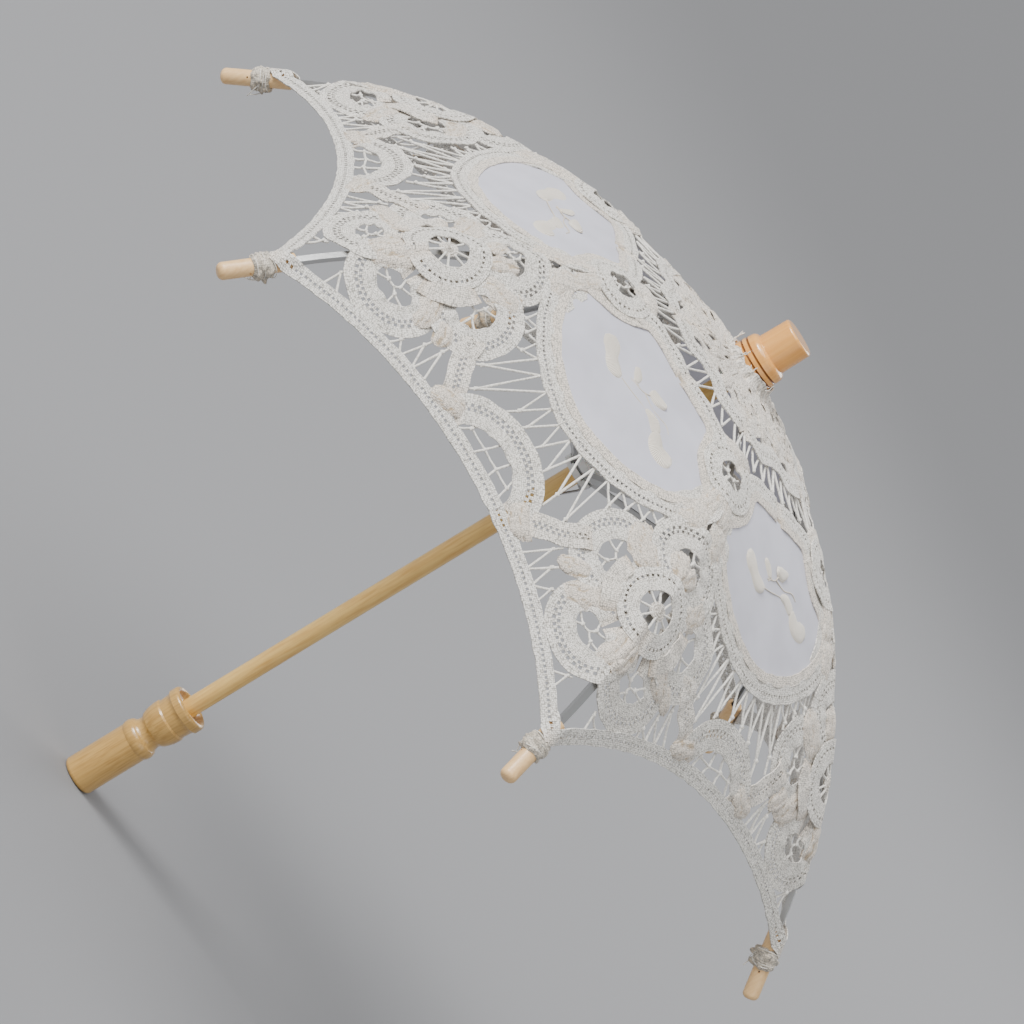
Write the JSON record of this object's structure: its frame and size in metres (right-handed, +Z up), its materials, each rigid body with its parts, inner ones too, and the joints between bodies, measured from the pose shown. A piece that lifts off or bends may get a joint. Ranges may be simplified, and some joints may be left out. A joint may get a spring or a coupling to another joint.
{
  "type": "lace parasol",
  "caption": "Small folding lace parasol with curved steel ribs, sliding runner, sprung catch, turned wooden handle and wooden rib tips.",
  "frame": {"origin": "centre of the handle's flat end", "axes": "+Z runs up the shaft from the handle to the ferrule; +X is rib 1's direction"},
  "size_m": [0.4334, 0.3762, 0.3475],
  "materials": {
    "pale_wood": "turned and clear-varnished pale hardwood",
    "lacquered_pine": "turned pine under clear gloss lacquer",
    "tip_wood": "turned peach-toned wood, satin",
    "rib_steel": "rolled bright steel strip",
    "spring_wire": "drawn spring wire",
    "white_plastic": "moulded, glossy white",
    "cotton_lace": "woven cotton lace tape and fine cotton lawn, off-white",
    "sewing_thread": "twisted cotton thread"
  },
  "bodies": {
    "root": {"shaft": "pale_wood", "handle": "pale_wood", "ferrule": "lacquered_pine", "top_notch": "white_plastic", "notch_wire": "spring_wire", "crown_lace": "cotton_lace"},
    "runner": {"runner": "white_plastic", "runner_wire": "spring_wire"},
    "catch": {"spring_catch": "spring_wire"},
    "rib_1": {"rib_1": "rib_steel", "rib_tip_1": "tip_wood", "tip_thread_1": "sewing_thread"},
    "stretcher_1": {"stretcher_1": "rib_steel", "joint_rivet_1": "rib_steel"},
    "lace_right_1": {"lace_right_1": "cotton_lace"},
    "lace_left_1": {"lace_left_1": "cotton_lace"},
    "rib_2": {"rib_2": "rib_steel", "rib_tip_2": "tip_wood", "tip_thread_2": "sewing_thread"},
    "stretcher_2": {"stretcher_2": "rib_steel", "joint_rivet_2": "rib_steel"},
    "lace_right_2": {"lace_right_2": "cotton_lace"},
    "lace_left_2": {"lace_left_2": "cotton_lace"},
    "rib_3": {"rib_3": "rib_steel", "rib_tip_3": "tip_wood", "tip_thread_3": "sewing_thread"},
    "stretcher_3": {"stretcher_3": "rib_steel", "joint_rivet_3": "rib_steel"},
    "lace_right_3": {"lace_right_3": "cotton_lace"},
    "lace_left_3": {"lace_left_3": "cotton_lace"},
    "rib_4": {"rib_4": "rib_steel", "rib_tip_4": "tip_wood", "tip_thread_4": "sewing_thread"},
    "stretcher_4": {"stretcher_4": "rib_steel", "joint_rivet_4": "rib_steel"},
    "lace_right_4": {"lace_right_4": "cotton_lace"},
    "lace_left_4": {"lace_left_4": "cotton_lace"},
    "rib_5": {"rib_5": "rib_steel", "rib_tip_5": "tip_wood", "tip_thread_5": "sewing_thread"},
    "stretcher_5": {"stretcher_5": "rib_steel", "joint_rivet_5": "rib_steel"},
    "lace_right_5": {"lace_right_5": "cotton_lace"},
    "lace_left_5": {"lace_left_5": "cotton_lace"},
    "rib_6": {"rib_6": "rib_steel", "rib_tip_6": "tip_wood", "tip_thread_6": "sewing_thread"},
    "stretcher_6": {"stretcher_6": "rib_steel", "joint_rivet_6": "rib_steel"},
    "lace_right_6": {"lace_right_6": "cotton_lace"},
    "lace_left_6": {"lace_left_6": "cotton_lace"}
  },
  "joints": [
    {"name": "runner_slide", "type": "slide", "parent": "root", "child": "runner", "axis": [0, 0, 1], "range_m": [-0.13787, 0], "deforming": ["lace_right_1", "lace_left_1", "lace_right_2", "lace_left_2", "lace_right_3", "lace_left_3", "lace_right_4", "lace_left_4", "lace_right_5", "lace_left_5", "lace_right_6", "lace_left_6", "crown_lace", "spring_catch"]},
    {"name": "catch_press", "type": "hinge", "parent": "root", "child": "catch", "pos_m": [-0.00052, -0.0003, 0.223], "axis": [0.5, -0.866, 0], "range_deg": [0, 14], "stiffness_Nm_per_rad": 0.02},
    {"name": "rib_1_fold", "type": "hinge", "parent": "root", "child": "rib_1", "pos_m": [0.0065, 0, 0.318], "axis": [0, 1, 0], "range_deg": [0, 59.12]},
    {"name": "stretcher_1_fold", "type": "hinge", "parent": "runner", "child": "stretcher_1", "pos_m": [0.0064, 0, 0.2455], "axis": [0, -1, 0], "range_deg": [0, 48.42]},
    {"name": "lace_left_1_fold", "type": "hinge", "parent": "rib_1", "child": "lace_left_1", "pos_m": [0.0065, 0, 0.318], "axis": [-0.3635, -0.9085, -0.2061], "range_deg": [0, 36.1]},
    {"name": "lace_right_1_fold", "type": "hinge", "parent": "rib_1", "child": "lace_right_1", "pos_m": [0.0065, 0, 0.318], "axis": [0.3635, -0.9085, 0.2061], "range_deg": [0, 36.1]},
    {"name": "rib_2_fold", "type": "hinge", "parent": "root", "child": "rib_2", "pos_m": [0.00325, 0.00563, 0.318], "axis": [-0.866, 0.5, 0], "range_deg": [0, 59.12]},
    {"name": "stretcher_2_fold", "type": "hinge", "parent": "runner", "child": "stretcher_2", "pos_m": [0.0032, 0.00554, 0.2455], "axis": [0.866, -0.5, 0], "range_deg": [0, 48.42]},
    {"name": "lace_left_2_fold", "type": "hinge", "parent": "rib_2", "child": "lace_left_2", "pos_m": [0.00325, 0.00563, 0.318], "axis": [0.6051, -0.7691, -0.2061], "range_deg": [0, 36.1]},
    {"name": "lace_right_2_fold", "type": "hinge", "parent": "rib_2", "child": "lace_right_2", "pos_m": [0.00325, 0.00563, 0.318], "axis": [0.9685, -0.1395, 0.2061], "range_deg": [0, 36.1]},
    {"name": "rib_3_fold", "type": "hinge", "parent": "root", "child": "rib_3", "pos_m": [-0.00325, 0.00563, 0.318], "axis": [-0.866, -0.5, 0], "range_deg": [0, 59.12]},
    {"name": "stretcher_3_fold", "type": "hinge", "parent": "runner", "child": "stretcher_3", "pos_m": [-0.0032, 0.00554, 0.2455], "axis": [0.866, 0.5, 0], "range_deg": [0, 48.42]},
    {"name": "lace_left_3_fold", "type": "hinge", "parent": "rib_3", "child": "lace_left_3", "pos_m": [-0.00325, 0.00563, 0.318], "axis": [0.9685, 0.1395, -0.2061], "range_deg": [0, 36.1]},
    {"name": "lace_right_3_fold", "type": "hinge", "parent": "rib_3", "child": "lace_right_3", "pos_m": [-0.00325, 0.00563, 0.318], "axis": [0.6051, 0.7691, 0.2061], "range_deg": [0, 36.1]},
    {"name": "rib_4_fold", "type": "hinge", "parent": "root", "child": "rib_4", "pos_m": [-0.0065, 0, 0.318], "axis": [0, -1, 0], "range_deg": [0, 59.12]},
    {"name": "stretcher_4_fold", "type": "hinge", "parent": "runner", "child": "stretcher_4", "pos_m": [-0.0064, 0, 0.2455], "axis": [0, 1, 0], "range_deg": [0, 48.42]},
    {"name": "lace_left_4_fold", "type": "hinge", "parent": "rib_4", "child": "lace_left_4", "pos_m": [-0.0065, 0, 0.318], "axis": [0.3635, 0.9085, -0.2061], "range_deg": [0, 36.1]},
    {"name": "lace_right_4_fold", "type": "hinge", "parent": "rib_4", "child": "lace_right_4", "pos_m": [-0.0065, 0, 0.318], "axis": [-0.3635, 0.9085, 0.2061], "range_deg": [0, 36.1]},
    {"name": "rib_5_fold", "type": "hinge", "parent": "root", "child": "rib_5", "pos_m": [-0.00325, -0.00563, 0.318], "axis": [0.866, -0.5, 0], "range_deg": [0, 59.12]},
    {"name": "stretcher_5_fold", "type": "hinge", "parent": "runner", "child": "stretcher_5", "pos_m": [-0.0032, -0.00554, 0.2455], "axis": [-0.866, 0.5, 0], "range_deg": [0, 48.42]},
    {"name": "lace_left_5_fold", "type": "hinge", "parent": "rib_5", "child": "lace_left_5", "pos_m": [-0.00325, -0.00563, 0.318], "axis": [-0.6051, 0.7691, -0.2061], "range_deg": [0, 36.1]},
    {"name": "lace_right_5_fold", "type": "hinge", "parent": "rib_5", "child": "lace_right_5", "pos_m": [-0.00325, -0.00563, 0.318], "axis": [-0.9685, 0.1395, 0.2061], "range_deg": [0, 36.1]},
    {"name": "rib_6_fold", "type": "hinge", "parent": "root", "child": "rib_6", "pos_m": [0.00325, -0.00563, 0.318], "axis": [0.866, 0.5, 0], "range_deg": [0, 59.12]},
    {"name": "stretcher_6_fold", "type": "hinge", "parent": "runner", "child": "stretcher_6", "pos_m": [0.0032, -0.00554, 0.2455], "axis": [-0.866, -0.5, 0], "range_deg": [0, 48.42]},
    {"name": "lace_left_6_fold", "type": "hinge", "parent": "rib_6", "child": "lace_left_6", "pos_m": [0.00325, -0.00563, 0.318], "axis": [-0.9685, -0.1395, -0.2061], "range_deg": [0, 36.1]},
    {"name": "lace_right_6_fold", "type": "hinge", "parent": "rib_6", "child": "lace_right_6", "pos_m": [0.00325, -0.00563, 0.318], "axis": [-0.6051, -0.7691, 0.2061], "range_deg": [0, 36.1]}
  ],
  "couplings": [
    {"joint": "rib_1_fold", "follows": "runner_slide", "rad_per_m": -7.4814},
    {"joint": "stretcher_1_fold", "follows": "runner_slide", "rad_per_m": -6.1268},
    {"joint": "lace_left_1_fold", "follows": "runner_slide", "rad_per_m": -4.5679},
    {"joint": "lace_right_1_fold", "follows": "runner_slide", "rad_per_m": -4.5679},
    {"joint": "rib_2_fold", "follows": "runner_slide", "rad_per_m": -7.4814},
    {"joint": "stretcher_2_fold", "follows": "runner_slide", "rad_per_m": -6.1268},
    {"joint": "lace_left_2_fold", "follows": "runner_slide", "rad_per_m": -4.5679},
    {"joint": "lace_right_2_fold", "follows": "runner_slide", "rad_per_m": -4.5679},
    {"joint": "rib_3_fold", "follows": "runner_slide", "rad_per_m": -7.4814},
    {"joint": "stretcher_3_fold", "follows": "runner_slide", "rad_per_m": -6.1268},
    {"joint": "lace_left_3_fold", "follows": "runner_slide", "rad_per_m": -4.5679},
    {"joint": "lace_right_3_fold", "follows": "runner_slide", "rad_per_m": -4.5679},
    {"joint": "rib_4_fold", "follows": "runner_slide", "rad_per_m": -7.4814},
    {"joint": "stretcher_4_fold", "follows": "runner_slide", "rad_per_m": -6.1268},
    {"joint": "lace_left_4_fold", "follows": "runner_slide", "rad_per_m": -4.5679},
    {"joint": "lace_right_4_fold", "follows": "runner_slide", "rad_per_m": -4.5679},
    {"joint": "rib_5_fold", "follows": "runner_slide", "rad_per_m": -7.4814},
    {"joint": "stretcher_5_fold", "follows": "runner_slide", "rad_per_m": -6.1268},
    {"joint": "lace_left_5_fold", "follows": "runner_slide", "rad_per_m": -4.5679},
    {"joint": "lace_right_5_fold", "follows": "runner_slide", "rad_per_m": -4.5679},
    {"joint": "rib_6_fold", "follows": "runner_slide", "rad_per_m": -7.4814},
    {"joint": "stretcher_6_fold", "follows": "runner_slide", "rad_per_m": -6.1268},
    {"joint": "lace_left_6_fold", "follows": "runner_slide", "rad_per_m": -4.5679},
    {"joint": "lace_right_6_fold", "follows": "runner_slide", "rad_per_m": -4.5679}
  ]
}
